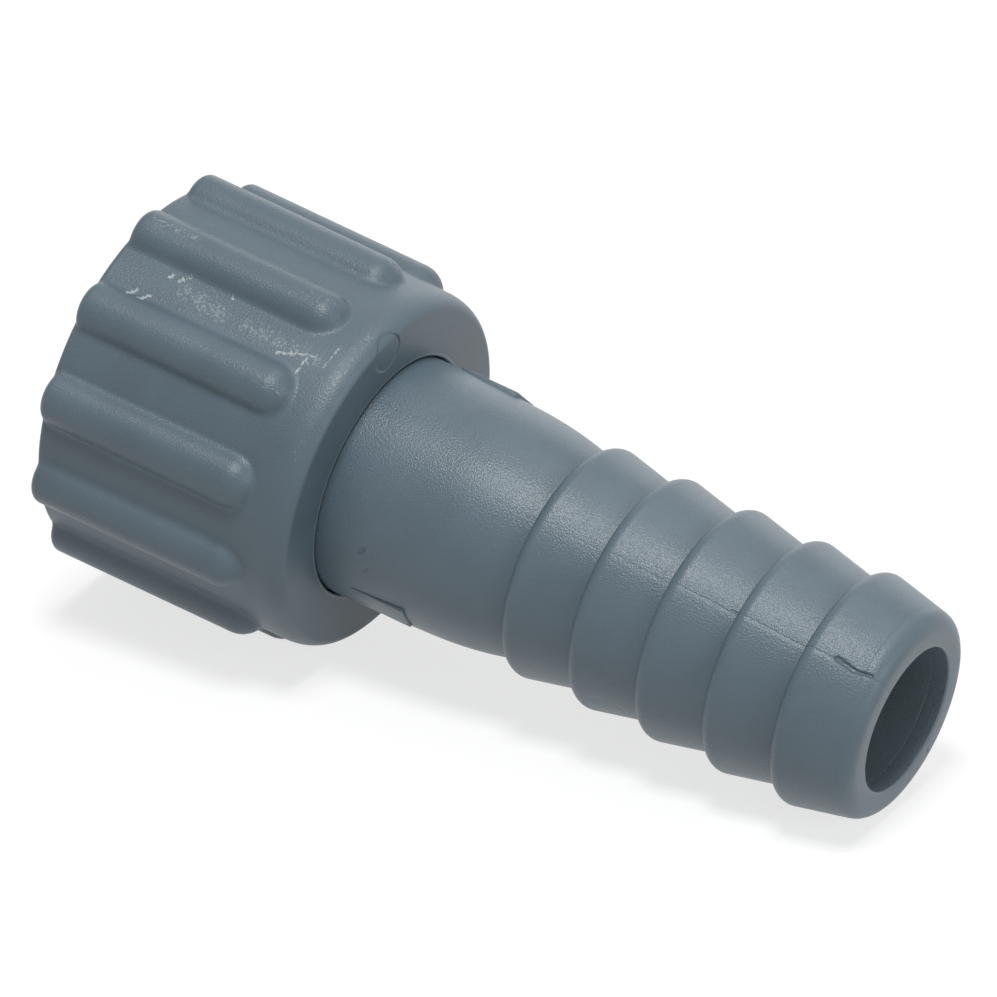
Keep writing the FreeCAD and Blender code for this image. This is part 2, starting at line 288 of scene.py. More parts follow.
def ribbed_radius(along, offset):
    """The nut's outside at an angle from a rib's middle, where the rib runs into the wall
    with a small fillet and ends in a soft ball."""
    wall = wall_radius(along)
    if along < RIB_START:
        return wall
    middle = RIB_MIDDLE - NUT_DRAFT * along / NUT_LENGTH
    rib = RIB_RADIUS - eased(along - RIB_START, RIB_MOUTH_ROUND)
    beyond = max(along - RIB_SHOULDER, 0)

    def outside(out):
        across = math.hypot(out * math.cos(offset) - middle, out * math.sin(offset))
        to_rib = math.hypot(beyond, across) - rib
        to_wall = out - wall
        blend = math.hypot(max(RIB_FOOT - to_rib, 0), max(RIB_FOOT - to_wall, 0))
        return max(RIB_FOOT, min(to_rib, to_wall)) - blend

    low = wall
    high = middle + RIB_RADIUS + SEARCH_MARGIN
    for _ in range(SEARCH_STEPS):
        halfway = (low + high) / 2
        if outside(halfway) > 0:
            high = halfway
        else:
            low = halfway
    return low


def thread_radius(along, angle):
    """The female thread: rounded crests and roots on a right-hand helix."""
    turn = (along / THREAD_PITCH - angle / math.tau) % 1
    flank = 0.5 - 0.5 * math.cos(math.tau * turn)
    form = min(max((flank - THREAD_FLAT) / (1 - 2 * THREAD_FLAT), 0), 1)
    fade = min((THREAD_END - along) / THREAD_RUN_OUT, 1)
    return THREAD_CREST + (THREAD_ROOT - THREAD_CREST) * form * max(fade, 0)


def nut_outline():
    """The nut's plain section: outer wall, front face, hole, pocket, thread and mouth."""
    outside = [(along, wall_radius(along)) for along in wall_rows()]
    inside = rounded(
        [
            (NUT_LENGTH, FACE_MIDDLE, 0),
            (NUT_LENGTH, HOLE_RADIUS, HOLE_LIP),
            (SHOULDER, HOLE_RADIUS, 0),
            (SHOULDER, POCKET_RADIUS, POCKET_ROUND),
            (POCKET_BACK, POCKET_RADIUS, 0),
        ]
    )
    length = THREAD_END - THREAD_START
    thread_rows = int(length / THREAD_PITCH * THREAD_ROWS_PER_TURN)
    step = length / thread_rows
    thread = [(THREAD_END - step * i, THREAD_CREST) for i in range(thread_rows + 1)]
    mouth = [(0, LEAD_IN_RADIUS)]
    return outside + [tuple(p) for p in inside] + thread + mouth


def make_nut(seat, material):
    """The ribbed nut: its plain section turned, then the ribs raised and the thread cut."""
    bm = bmesh.new()
    turned(bm, nut_outline(), NUT_STEPS)
    spacing = math.tau / RIB_COUNT
    known = {}
    for vert in bm.verts:
        along, side, height = vert.co
        out = math.hypot(side, height)
        angle = math.atan2(side, height)
        if out > RIBS_INSIDE and along < RIBS_END:
            offset = abs((angle + spacing) % spacing - spacing / 2)
            place = (round(along, 4), round(offset, 5))
            if place not in known:
                known[place] = ribbed_radius(along, offset)
            out = known[place]
        elif abs(out - THREAD_CREST) < MERGE_DISTANCE:
            out = thread_radius(along, angle)
        vert.co = (along, out * math.sin(angle), out * math.cos(angle))
    return finished(
        bm, "ribbed_nut", seat, material, "nut", "union_nut"
    )


def taper_points():
    """The round taper from the neck to the first barb, a shallow arc over its chord."""
    start = Vector((NECK_FRONT, NECK_FRONT_RADIUS))
    end = Vector((FIRST_BARB, BARB_ROOT))
    outward = Vector((start.y - end.y, end.x - start.x)).normalized()
    points = []
    for step in range(TAPER_STEPS + 1):
        share = step / TAPER_STEPS
        rise = TAPER_BULGE * 4 * share * (1 - share)
        points.append(start.lerp(end, share) + outward * rise)
    return points


def add_lug(bm, angle, back, front, width, top):
    """A retaining lug on the neck, as a bevelled pad with a flat top."""
    pad = bmesh.ops.create_cube(bm, size=1)["verts"]
    foot = NECK_RADIUS - LUG_DEPTH
    reach = Matrix.Diagonal((front - back, width, top - foot, 1))
    place = Matrix.Translation(((back + front) / 2, 0, (foot + top) / 2))
    turn = Matrix.Rotation(math.radians(angle), 4, "X")
    bmesh.ops.transform(bm, matrix=turn @ place @ reach, verts=pad)
    edges = dict.fromkeys(edge for vert in pad for edge in vert.link_edges)
    bmesh.ops.bevel(
        bm,
        geom=list(edges),
        offset=LUG_ROUND,
        affect="EDGES",
        segments=LUG_ROUND_STEPS,
        profile=0.5,
        material=-1,
    )


def make_tail(seat, material):
    """The hose tail: flange, neck, round taper, five barbs and the rounded tip."""
    bm = bmesh.new()
    outline = [
        (FLANGE_BACK, BORE_RADIUS, BORE_LIP),
        (FLANGE_BACK, FLANGE_RADIUS, FLANGE_ROUND),
        (FLANGE_FRONT, FLANGE_RADIUS, FLANGE_ROUND),
        (FLANGE_FRONT, NECK_RADIUS, NECK_FOOT_ROUND),
        (NECK_DRAFT_START, NECK_RADIUS, 0),
    ]
    outline += [(p.x, p.y, 0) for p in taper_points()[:-1]]
    for barb in range(BARB_COUNT):
        start = FIRST_BARB + barb * BARB_PITCH
        outline.append((start, BARB_ROOT, BARB_VALLEY_ROUND))
        outline.append((start, BARB_CREST, BARB_CREST_ROUND))
    outline += [
        (TIP, TIP_RADIUS, TIP_ROUND),
        (TIP, BORE_RADIUS, BORE_LIP),
    ]
    turned(bm, rounded(outline), TAIL_STEPS)
    for lug in LUGS:
        add_lug(bm, *lug)
    return finished(
        bm, "barbed_hose_tail", seat, material, "tail", "hose_tail"
    )


def make_washer(seat, material):
    """The flat rubber washer between the flange and the pipe's end."""
    bm = bmesh.new()
    outline = [
        (WASHER_BACK, WASHER_HOLE, WASHER_ROUND),
        (WASHER_BACK, WASHER_RADIUS, WASHER_ROUND),
        (WASHER_FRONT, WASHER_RADIUS, WASHER_ROUND),
        (WASHER_FRONT, WASHER_HOLE, WASHER_ROUND),
    ]
    turned(bm, rounded(outline), WASHER_STEPS)
    return finished(
        bm,
        "washer_ring",
        seat,
        material,
        "washer",
        "sealing_washer",
    )


def add_node(tree, kind, **values):
    """A shader node, with its settings and the values of its unlinked inputs."""
    node = tree.nodes.new(kind)
    for name, value in values.items():
        if hasattr(node, name):
            setattr(node, name, value)
        else:
            feed(tree, value, node.inputs[name.replace("_", " ")])
    return node


def feed(tree, value, socket):
    """Links another node's output to a socket, or sets a plain value on it."""
    if isinstance(value, bpy.types.NodeSocket):
        tree.links.new(value, socket)
    else:
        socket.default_value = value


def worked(tree, operation, *parts, clamp=False):
    """The result of a Math node on values and sockets."""
    node = add_node(tree, "ShaderNodeMath", operation=operation, use_clamp=clamp)
    for part, socket in zip(parts, node.inputs):
        feed(tree, part, socket)
    return node.outputs[0]


def worked_vector(tree, operation, *parts):
    """The result of a Vector Math node on values and sockets."""
    node = add_node(tree, "ShaderNodeVectorMath", operation=operation)
    sockets = [s for s in node.inputs if s.enabled]
    for part, socket in zip(parts, sockets):
        feed(tree, part, socket)
    return next(s for s in node.outputs if s.enabled)


def risen(tree, value, low, high):
    """A soft rise from 0 where the value is low to 1 where it is high."""
    node = add_node(tree, "ShaderNodeMapRange", interpolation_type="SMOOTHSTEP")
    feed(tree, value, node.inputs["Value"])
    feed(tree, low, node.inputs["From Min"])
    feed(tree, high, node.inputs["From Max"])
    return node.outputs["Result"]


def spread(tree, value, low, high):
    """A value from 0 to 1 carried to a range."""
    node = add_node(tree, "ShaderNodeMapRange", To_Min=low, To_Max=high)
    feed(tree, value, node.inputs["Value"])
    return node.outputs["Result"]


def new_group(name, inputs, outputs):
    """An empty shader node group, with its input and output nodes."""
    group = bpy.data.node_groups.new(name, "ShaderNodeTree")
    for label, kind in inputs.items():
        group.interface.new_socket(label, in_out="INPUT", socket_type=kind)
    for label in outputs:
        group.interface.new_socket(
            label, in_out="OUTPUT", socket_type="NodeSocketFloat"
        )
    return group, group.nodes.new("NodeGroupInput"), group.nodes.new("NodeGroupOutput")


def placed_group(tree, group, **values):
    """A group's node in a material, with its own values."""
    node = tree.nodes.new("ShaderNodeGroup")
    node.node_tree = group
    for name, value in values.items():
        feed(tree, value, node.inputs[name.replace("_", " ")])
    return node


def spark_grain_group():
    """The fine pitted grain that a spark-eroded mould leaves, and its brightest flecks."""
    group, given, out = new_group(
        "spark_grain",
        {"Place": "NodeSocketVector", "Size": "NodeSocketFloat"},
        ["Height", "Fleck"],
    )
    finer = worked(group, "DIVIDE", 1.0, given.outputs["Size"])
    place = worked_vector(group, "SCALE", given.outputs["Place"], finer)
    grain = add_node(
        group, "ShaderNodeTexNoise", Vector=place, Scale=1.0, Detail=1.5, Roughness=0.6
    )
    fleck = risen(group, grain.outputs["Fac"], 0.56, 0.7)
    group.links.new(grain.outputs["Fac"], out.inputs["Height"])
    group.links.new(fleck, out.inputs["Fleck"])
    return group


def flow_clouds_group():
    """Faint clouds of lighter and darker plastic or rubber, left as it flowed and set."""
    group, given, out = new_group(
        "flow_clouds",
        {"Place": "NodeSocketVector", "Size": "NodeSocketFloat"},
        ["Shade"],
    )
    finer = worked(group, "DIVIDE", 1.0, given.outputs["Size"])
    place = worked_vector(group, "SCALE", given.outputs["Place"], finer)
    clouds = add_node(
        group, "ShaderNodeTexNoise", Vector=place, Scale=1.0, Detail=3.0, Distortion=0.4
    )
    shade = risen(group, clouds.outputs["Fac"], 0.3, 0.7)
    group.links.new(shade, out.inputs["Shade"])
    return group


def stroke_group():
    """A mark of the given width from one place to another, with ragged sides."""
    group, given, out = new_group(
        "stroke",
        {
            "Place": "NodeSocketVector",
            "From": "NodeSocketVector",
            "To": "NodeSocketVector",
            "Width": "NodeSocketFloat",
            "Soft": "NodeSocketFloat",
            "Stray": "NodeSocketFloat",
            "Ragged": "NodeSocketFloat",
        },
        ["Mask"],
    )
    reach = worked_vector(
        group, "SUBTRACT", given.outputs["To"], given.outputs["From"]
    )
    arm = worked_vector(
        group, "SUBTRACT", given.outputs["Place"], given.outputs["From"]
    )
    share = worked(
        group,
        "DIVIDE",
        worked_vector(group, "DOT_PRODUCT", arm, reach),
        worked_vector(group, "DOT_PRODUCT", reach, reach),
        clamp=True,
    )
    nearest = worked_vector(
        group,
        "ADD",
        given.outputs["From"],
        worked_vector(group, "SCALE", reach, share),
    )
    gap = worked_vector(group, "DISTANCE", given.outputs["Place"], nearest)
    stray = worked(group, "MULTIPLY", given.outputs["Stray"], given.outputs["Ragged"])
    edge = worked(group, "DIVIDE", given.outputs["Width"], 2.0)
    inner = worked(
        group, "SUBTRACT", edge, worked(group, "MULTIPLY", edge, given.outputs["Soft"])
    )
    mask = risen(group, worked(group, "ADD", gap, stray), edge, inner)
    group.links.new(mask, out.inputs["Mask"])
    return group


# The noise level over which specks show, how far a full mask lowers it, and their soft
# edge.
SPECK_LEVEL = 0.66
SPECK_REACH = 0.26
SPECK_EDGE = 0.13


def pale_speckle_group():
    """Fine pale specks over a mask: where the skin is rubbed, and on the nut also painted
    highlights.
    """
    group, given, out = new_group(
        "pale_speckle",
        {
            "Place": "NodeSocketVector",
            "Rubbed": "NodeSocketFloat",
            "Density": "NodeSocketFloat",
        },
        ["Mask"],
    )
    specks = add_node(
        group,
        "ShaderNodeTexNoise",
        Vector=given.outputs["Place"],
        Scale=3.4,
        Detail=4.0,
        Roughness=0.7,
    )
    needed = worked(
        group, "MULTIPLY", given.outputs["Rubbed"], given.outputs["Density"]
    )
    lowered = worked(group, "MULTIPLY", needed, SPECK_REACH)
    low = worked(group, "SUBTRACT", SPECK_LEVEL, lowered)
    high = worked(group, "ADD", low, SPECK_EDGE)
    mask = worked(
        group,
        "MULTIPLY",
        risen(group, specks.outputs["Fac"], low, high),
        given.outputs["Rubbed"],
    )
    group.links.new(mask, out.inputs["Mask"])
    return group


def fitting_place(tree, seat):
    """Coordinates in millimetres along and round the fitting's axis."""
    source = add_node(tree, "ShaderNodeTexCoord")
    back = seat.inverted()
    turn = seat.to_3x3().normalized().transposed()
    mapping = add_node(
        tree,
        "ShaderNodeMapping",
        Vector=source.outputs["Object"],
        Scale=(1 / MM,) * 3,
        Rotation=turn.to_euler(),
        Location=back.translation,
    )
    return mapping.outputs["Vector"]


def round_place(tree, place):
    """How far along the fitting's axis and how far out from it."""
    apart = add_node(tree, "ShaderNodeSeparateXYZ", Vector=place)
    across = worked_vector(tree, "MULTIPLY", place, (0, 1, 1))
    return apart.outputs["X"], worked_vector(tree, "LENGTH", across)


def stray_edges(tree, place):
    """A fine unevenness that makes the sides of a mark ragged."""
    noise = add_node(tree, "ShaderNodeTexNoise", Vector=place, Scale=3.0, Detail=2.0)
    return worked(tree, "SUBTRACT", noise.outputs["Fac"], 0.5)


def strokes(tree, stroke, place, stray, rows):
    """All the marks of a list in one mask: from, to, width, softness and raggedness."""
    mask = None
    for start, end, width, soft, ragged in rows:
        node = placed_group(
            tree,
            stroke,
            Place=place,
            From=start,
            To=end,
            Width=width,
            Soft=soft,
            Stray=stray,
            Ragged=ragged,
        )
        new = node.outputs["Mask"]
        mask = new if mask is None else worked(tree, "MAXIMUM", mask, new)
    return mask


# Marks on the nut, in the fitting's own millimetres: from, to, width, softness, raggedness.
NUT_NICKS = [
    ((5.2, -7.3, 14.2), (5.4, -6.9, 14.4), 0.5, 0.6, 0.7),
    ((6.1, -7.2, 14.2), (6.7, -6.5, 14.5), 0.5, 0.6, 0.7),
    ((3.1, -9.7, 12.7), (3.5, -9.2, 13.1), 0.6, 0.6, 0.8),
    ((4.2, -9.8, 12.6), (4.7, -9.2, 13.1), 0.66, 0.6, 0.8),
    ((10.9, -6.5, 14.5), (11.1, -6.6, 14.4), 0.4, 0.6, 0.5),
    ((23.7, -15.3, -2.4), (23.8, -15.2, -2.6), 0.6, 0.6, 0.5),
    ((17.1, -8.8, 13.0), (18.8, -8.2, 13.4), 0.5, 1.0, 0.9),
    ((18.8, -8.2, 13.4), (20.1, -7.9, 13.6), 0.5, 1.0, 0.9),
    ((19.5, -9.6, 12.4), (19.6, -7.9, 13.6), 0.36, 1.0, 0.6),
    ((21.3, -8.3, 13.2), (21.4, -6.5, 14.2), 0.3, 1.0, 0.5),
]
# Pale specked patches: the first two and the last are rubbed places; the two on the front
# edge's round are a painted highlight with scuffing in it, and the three at the rib ends
# are painted highlights on the ball ends with scuffing.
NUT_SCUFFS_AND_HIGHLIGHTS = [
    ((7.4, -7.7, 13.8), (11.0, -8.1, 13.5), 4.4, 1.0, 1.2),
    ((13.5, -8.1, 13.5), (20.3, -8.1, 13.3), 3.8, 1.0, 1.2),
    ((22.7, -4.0, 14.8), (22.7, -8.8, 12.5), 1.9, 1.0, 0.6),
    ((22.7, -8.8, 12.5), (22.7, -13.2, 7.8), 1.7, 1.0, 0.6),
    ((17.0, -4.3, 16.2), (19.0, -4.2, 15.9), 2.6, 1.0, 0.8),
    ((17.6, -11.9, 11.9), (19.3, -11.6, 11.6), 2.4, 1.0, 0.8),
    ((17.6, 4.3, 16.3), (19.2, 4.2, 15.9), 2.4, 1.0, 0.8),
    ((1.5, -4.4, 16.7), (5.5, -4.4, 16.7), 2.2, 1.0, 1.2),
]
NUT_PIN_MARK = [((24.0, -3.1, 13.4), (24.0, -3.1, 13.4), 3.6, 0.16, 0.1)]
RIB_TOPS = (16.7, 17.4)
RIB_TOPS_RUBBED = 0.45
NUT_FACE = (23.0, 23.3)
# Painted highlight on the lip of the nut's hole: its band out from the axis and its
# strength.
HOLE_HIGHLIGHT_BAND = (10.92, 10.8)
HOLE_HIGHLIGHT_SPREAD = (0.5, 1.0)
NICK_HEIGHT = 0.05
NUT_PIN_DEPTH = 0.12

# Marks on the hose tail, listed in the same way.
TAIL_DENTS = [
    ((28.0, -10.4, -0.5), (28.35, -10.4, -0.1), 0.8, 0.9, 0.3),
    ((28.5, -10.2, -2.2), (28.75, -10.3, -1.9), 0.8, 1.0, 0.3),
    ((59.4, -5.9, 6.8), (60.3, -5.8, 6.8), 0.16, 0.8, 0.1),
    ((24.3, 5.5, 8.85), (24.6, 5.7, 8.7), 0.35, 0.8, 0.2),
    ((73.6, 4.55, -5.3), (73.7, 4.7, -5.5), 0.6, 0.8, 0.4),
]
TAIL_PIN_MARK = [((50.7, -7.2, -6.3), (50.7, -7.2, -6.3), 4.0, 0.12, 0.1)]
TAIL_FLASH = [
    ((69.7, -6.35, 7.25), (71.3, -6.35, 6.85), 0.7, 0.9, 0.2),
    ((71.3, -6.35, 6.85), (72.6, -5.9, 6.75), 0.5, 0.9, 0.2),
    ((72.4, -5.9, 6.7), (73.6, -4.6, 5.3), 0.3, 0.9, 0.2),
]
SEAM_STEP = (0.03, -0.03)
SEAM_FADE = (-0.45, -0.05)
SEAM_SHOWN = (44.0, 68.0)
SEAM_FAINTEST = 0.12
TIP_RING = (72.0, 72.1, 72.5)
BARB_TOPS = (9.85, 10.1)
BARBS_FROM = (41.2, 41.6)
BARB_TOPS_RUBBED = 0.3
# Painted light in the bore: where it begins and how strong it is.
BORE_LIGHT_BAND = (6.5, 6.3)
BORE_PAINTED_LIGHT = 0.3
OUTSIDE_THE_BORE = (6.3, 6.6)
# Painted shade on the flash's sunk side.
FLASH_PAINTED_SHADE = 0.7
SEAM_DEPTH = 0.03
FLASH_DEPTH = 0.2
DENT_DEPTH = 0.07
TAIL_PIN_DEPTH = 0.04
RING_DEPTH = 0.012


def nut_marks(tree, stroke, place):
    """The nut's pale nicks, its rubbed places with painted highlights on the front edge's
    round and at the rib ends, a painted highlight on the lip of its hole, and the height of
    the nicks and the ejector's mark."""
    along, out = round_place(tree, place)
    stray = stray_edges(tree, place)
    nicks = strokes(tree, stroke, place, stray, NUT_NICKS)
    # Rubbed places, with painted highlights on the front edge's round and at the rib ends.
    speck_mask = strokes(tree, stroke, place, stray, NUT_SCUFFS_AND_HIGHLIGHTS)
    tops = worked(tree, "MULTIPLY", risen(tree, out, *RIB_TOPS), RIB_TOPS_RUBBED)
    speck_mask = worked(tree, "MAXIMUM", speck_mask, tops)
    pin = strokes(tree, stroke, place, stray, NUT_PIN_MARK)
    on_face = risen(tree, along, *NUT_FACE)
    pin = worked(tree, "MULTIPLY", pin, on_face)
    raised = worked(tree, "MULTIPLY", nicks, NICK_HEIGHT)
    sunk = worked(tree, "MULTIPLY", pin, NUT_PIN_DEPTH)
    raised = worked(tree, "SUBTRACT", raised, sunk)
    # A painted highlight: a pale ring on the face at the lip of the hole round the neck.
    lip_highlight = worked(tree, "MULTIPLY", risen(tree, out, *HOLE_HIGHLIGHT_BAND), on_face)
    lip_highlight = worked(tree, "MULTIPLY", lip_highlight, spread(tree, stray, *HOLE_HIGHLIGHT_SPREAD))
    return nicks, speck_mask, lip_highlight, raised


def tail_marks(tree, stroke, place):
    """The tail's darker dents and the painted shade of its flash, its rubbed crests, the
    painted light in its bore, and the depth of its parting line with the flash, its dents,
    the ejector's mark and the ring at the tip."""
    along, out = round_place(tree, place)
    stray = stray_edges(tree, place)
    across = (0, math.cos(SEAM_ANGLE), math.sin(SEAM_ANGLE))
    side = worked_vector(tree, "DOT_PRODUCT", place, across)
    lower = risen(tree, side, *SEAM_STEP)
    near = worked(tree, "MULTIPLY", risen(tree, side, *SEAM_FADE), lower)
    shown = spread(tree, risen(tree, along, *SEAM_SHOWN), SEAM_FAINTEST, 1.0)
    outer = risen(tree, out, *OUTSIDE_THE_BORE)
    step = worked(tree, "MULTIPLY", worked(tree, "MULTIPLY", near, shown), outer)
    flash = strokes(tree, stroke, place, stray, TAIL_FLASH)
    dents = strokes(tree, stroke, place, stray, TAIL_DENTS)
    pin = strokes(tree, stroke, place, stray, TAIL_PIN_MARK)
    start, crest, end = TIP_RING
    ring = worked(
        tree, "MULTIPLY", risen(tree, along, start, crest), risen(tree, along, end, crest)
    )
    sunk = worked(tree, "MULTIPLY", step, SEAM_DEPTH)
    for mask, depth in (
        (flash, FLASH_DEPTH),
        (dents, DENT_DEPTH),
        (pin, TAIL_PIN_DEPTH),
        (ring, RING_DEPTH),
    ):
        sunk = worked(tree, "ADD", sunk, worked(tree, "MULTIPLY", mask, depth))
    on_barbs = risen(tree, along, *BARBS_FROM)
    crests = worked(tree, "MULTIPLY", risen(tree, out, *BARB_TOPS), on_barbs)
    speck_mask = worked(tree, "MULTIPLY", crests, BARB_TOPS_RUBBED)
    # Painted light: the bore's wall paler than the plastic.
    inside = worked(tree, "MULTIPLY", risen(tree, out, *BORE_LIGHT_BAND), BORE_PAINTED_LIGHT)
    # Painted shade on the flash, and the dents darker, both towards the tail's dark mark
    # colour.
    flash_shade = worked(tree, "MULTIPLY", flash, FLASH_PAINTED_SHADE)
    marked = worked(tree, "MAXIMUM", dents, flash_shade)
    return marked, speck_mask, inside, worked(tree, "MULTIPLY", sunk, -1.0)


def new_material(name):
    """An empty material with its tree and its shader."""
    material = bpy.data.materials.new(name)
    material.use_nodes = True
    tree = material.node_tree
    return material, tree, tree.nodes["Principled BSDF"]


def mixed(tree, share, first, second):
    """A colour between two others."""
    node = add_node(tree, "ShaderNodeMix", data_type="RGBA")
    feed(tree, share, node.inputs[0])
    feed(tree, first, node.inputs[6])
    feed(tree, second, node.inputs[7])
    return node.outputs[2]


# The pale colour of scuffs, also used for the painted highlights on the nut and the painted
# light in the bore.
PALE_SCUFF_AND_HIGHLIGHT = (0.33, 0.38, 0.41, 1)
PLASTIC_NICKED = (0.46, 0.51, 0.53, 1)
# The tail's dark mark colour: for the dents darker, for the flash painted shade.
DARK_MARK_AND_SHADE = (0.060, 0.088, 0.108, 1)

# Each plastic's deeper and paler shade, its roughness, and its marks' colour and strength.
NUT_LOOK = (
    (0.083, 0.122, 0.151, 1),
    (0.095, 0.138, 0.169, 1),
    0.40,
    PLASTIC_NICKED,
    0.75,
)
TAIL_LOOK = (
    (0.090, 0.132, 0.163, 1),
    (0.102, 0.148, 0.182, 1),
    0.36,
    DARK_MARK_AND_SHADE,
    0.5,
)
CLOUD_SIZE = 6.0
SPECK_DENSITY = 0.8
SPECK_PALENESS = 0.5
SMOOTHER = -0.02
ROUGHER = 0.03
FLECK_GLOSS = 0.05
GRAIN_SIZE = 0.15
GRAIN_DEPTH = 0.044


def moulded_plastic(name, seat, groups, marks, look):
    """Matt blue-grey moulding with a spark-eroded grain, flow clouds and its marks, among
    them painted highlights, painted light and painted shade.
    """
    deep, pale, roughness, mark_shade, mark_strength = look
    material, tree, shader = new_material(name)
    place = fitting_place(tree, seat)
    grain = placed_group(tree, groups["grain"], Place=place, Size=GRAIN_SIZE)
    clouds = placed_group(tree, groups["clouds"], Place=place, Size=CLOUD_SIZE)
    marked, speck_mask, paler, raised = marks(tree, groups["stroke"], place)
    pale_specks = placed_group(
        tree, groups["pale_specks"], Place=place, Rubbed=speck_mask, Density=SPECK_DENSITY
    )
    shade = clouds.outputs["Shade"]
    colour = mixed(tree, shade, deep, pale)
    # Pale specks over rubbed places and the nut's painted highlights, with the painted
    # highlight at the hole's lip and the painted light in the bore, all towards the pale
    # colour.
    speck_share = worked(tree, "MULTIPLY", pale_specks.outputs["Mask"], SPECK_PALENESS)
    paler = worked(tree, "MAXIMUM", speck_share, paler)
    colour = mixed(tree, paler, colour, PALE_SCUFF_AND_HIGHLIGHT)
    # Nicks on the nut; darker dents and the flash's painted shade on the tail.
    marked = worked(tree, "MULTIPLY", marked, mark_strength)
    colour = mixed(tree, marked, colour, mark_shade)
    tree.links.new(colour, shader.inputs["Base Color"])
    rough = spread(tree, shade, roughness + SMOOTHER, roughness + ROUGHER)
    gloss = worked(tree, "MULTIPLY", grain.outputs["Fleck"], FLECK_GLOSS)
    rough = worked(tree, "SUBTRACT", rough, gloss)
    tree.links.new(rough, shader.inputs["Roughness"])
    height = worked(tree, "MULTIPLY", grain.outputs["Height"], GRAIN_DEPTH)
    height = worked(tree, "ADD", height, raised)
    bump = add_node(tree, "ShaderNodeBump", Strength=1.0, Distance=MM, Height=height)
    tree.links.new(bump.outputs["Normal"], shader.inputs["Normal"])
    return material


RUBBER_DEEP = (0.018, 0.018, 0.019, 1)
RUBBER_BLOOM = (0.048, 0.047, 0.046, 1)
RUBBER_ROUGHNESS = (0.6, 0.82)
RUBBER_GRAIN_SIZE = 0.12
RUBBER_GRAIN_DEPTH = 0.03
RUBBER_CLOUD_SIZE = 2.2
CUT_RINGS_PER_MM = 17.0
CUT_RING_DEPTH = 0.004


def rubber(name, seat, groups):
    """Black rubber with a coarse skin, a faint grey bloom and the rings of its cutting."""
    material, tree, shader = new_material(name)
    place = fitting_place(tree, seat)
    _, out = round_place(tree, place)
    grain = placed_group(tree, groups["grain"], Place=place, Size=RUBBER_GRAIN_SIZE)
    clouds = placed_group(tree, groups["clouds"], Place=place, Size=RUBBER_CLOUD_SIZE)
    colour = mixed(tree, clouds.outputs["Shade"], RUBBER_DEEP, RUBBER_BLOOM)
    tree.links.new(colour, shader.inputs["Base Color"])
    rough = spread(tree, clouds.outputs["Shade"], *RUBBER_ROUGHNESS)
    tree.links.new(rough, shader.inputs["Roughness"])
    rings = worked(tree, "SINE", worked(tree, "MULTIPLY", out, CUT_RINGS_PER_MM))
    height = worked(tree, "MULTIPLY", grain.outputs["Height"], RUBBER_GRAIN_DEPTH)
    rings = worked(tree, "MULTIPLY", rings, CUT_RING_DEPTH)
    height = worked(tree, "ADD", height, rings)
    bump = add_node(tree, "ShaderNodeBump", Strength=1.0, Distance=MM, Height=height)
    tree.links.new(bump.outputs["Normal"], shader.inputs["Normal"])
    return material


def photo_axes():
    """The fitting's axis, its up side and its far side as the photograph's camera sees
    them: right, down and away from the viewer."""
    slope = AXIS_SLOPE
    towards = AXIS_TOWARDS_VIEWER
    along = Vector(
        (
            math.cos(towards) * math.cos(slope),
            math.cos(towards) * math.sin(slope),
            -math.sin(towards),
        )
    )
    viewer = Vector((0, 0, -1))
    near_side = (viewer - along * viewer.dot(along)).normalized()
    top = near_side.cross(along)
    if top.y > 0:
        top = -top
    turn = UP_FROM_PICTURE_TOP
    up = top * math.cos(turn) + near_side * math.sin(turn)
    return along, up, up.cross(along)


def camera_turn(seat):
    """Rotation from the photograph's camera (right, down, away) to the row frame."""
    own = seat.to_3x3().normalized()
    seen = Matrix(photo_axes()).transposed()
    real = Matrix((own.col[0], own.col[2], own.col[1])).transposed()
    return real @ seen.transposed()


def add_camera(seat):
    """The camera at the photograph's viewing angle, with the tip at its place there."""
    turn = camera_turn(seat)
    middle = PHOTO_SIDE / 2
    away = FOCAL_PIXELS / PIXELS_PER_MM
    tip_seen = Vector(
        (
            (SIGHTED_PIXEL[0] - middle) / PIXELS_PER_MM,
            (SIGHTED_PIXEL[1] - middle) / PIXELS_PER_MM,
            away,
        )
    )
    tip = seat @ Vector((SIGHTED_PLACE, 0, 0))
    data = bpy.data.cameras.new("camera")
    data.sensor_width = SENSOR_WIDTH
    data.lens = FOCAL_PIXELS / PHOTO_SIDE * SENSOR_WIDTH
    data.clip_start = NEAREST
    data.clip_end = FURTHEST
    camera = bpy.data.objects.new("camera", data)
    bpy.context.scene.collection.objects.link(camera)
    basis = Matrix((turn.col[0], -turn.col[1], -turn.col[2])).transposed()
    camera.matrix_world = Matrix.Translation(tip - turn @ tip_seen * MM) @ basis.to_4x4()
    bpy.context.scene.camera = camera


def add_lamp(name, direction, size, power):
    """A soft square lamp that looks at the object from a direction in the row frame."""
    data = bpy.data.lights.new(name, "AREA")
    data.size = size
    data.energy = power
    lamp = bpy.data.objects.new(name, data)
    bpy.context.scene.collection.objects.link(lamp)
    lamp.location = direction.normalized() * LAMP_DISTANCE
    lamp.rotation_mode = "QUATERNION"
    lamp.rotation_quaternion = direction.to_track_quat("Z", "Y")


def seen_directly(tree):
    """Whether a ray comes from the camera, a gloss or a clear piece, not a matt one."""
    path = add_node(tree, "ShaderNodeLightPath")
    seen = worked(
        tree,
        "MAXIMUM",
        path.outputs["Is Camera Ray"],
        path.outputs["Is Glossy Ray"],
    )
    return worked(tree, "MAXIMUM", seen, path.outputs["Is Transmission Ray"])


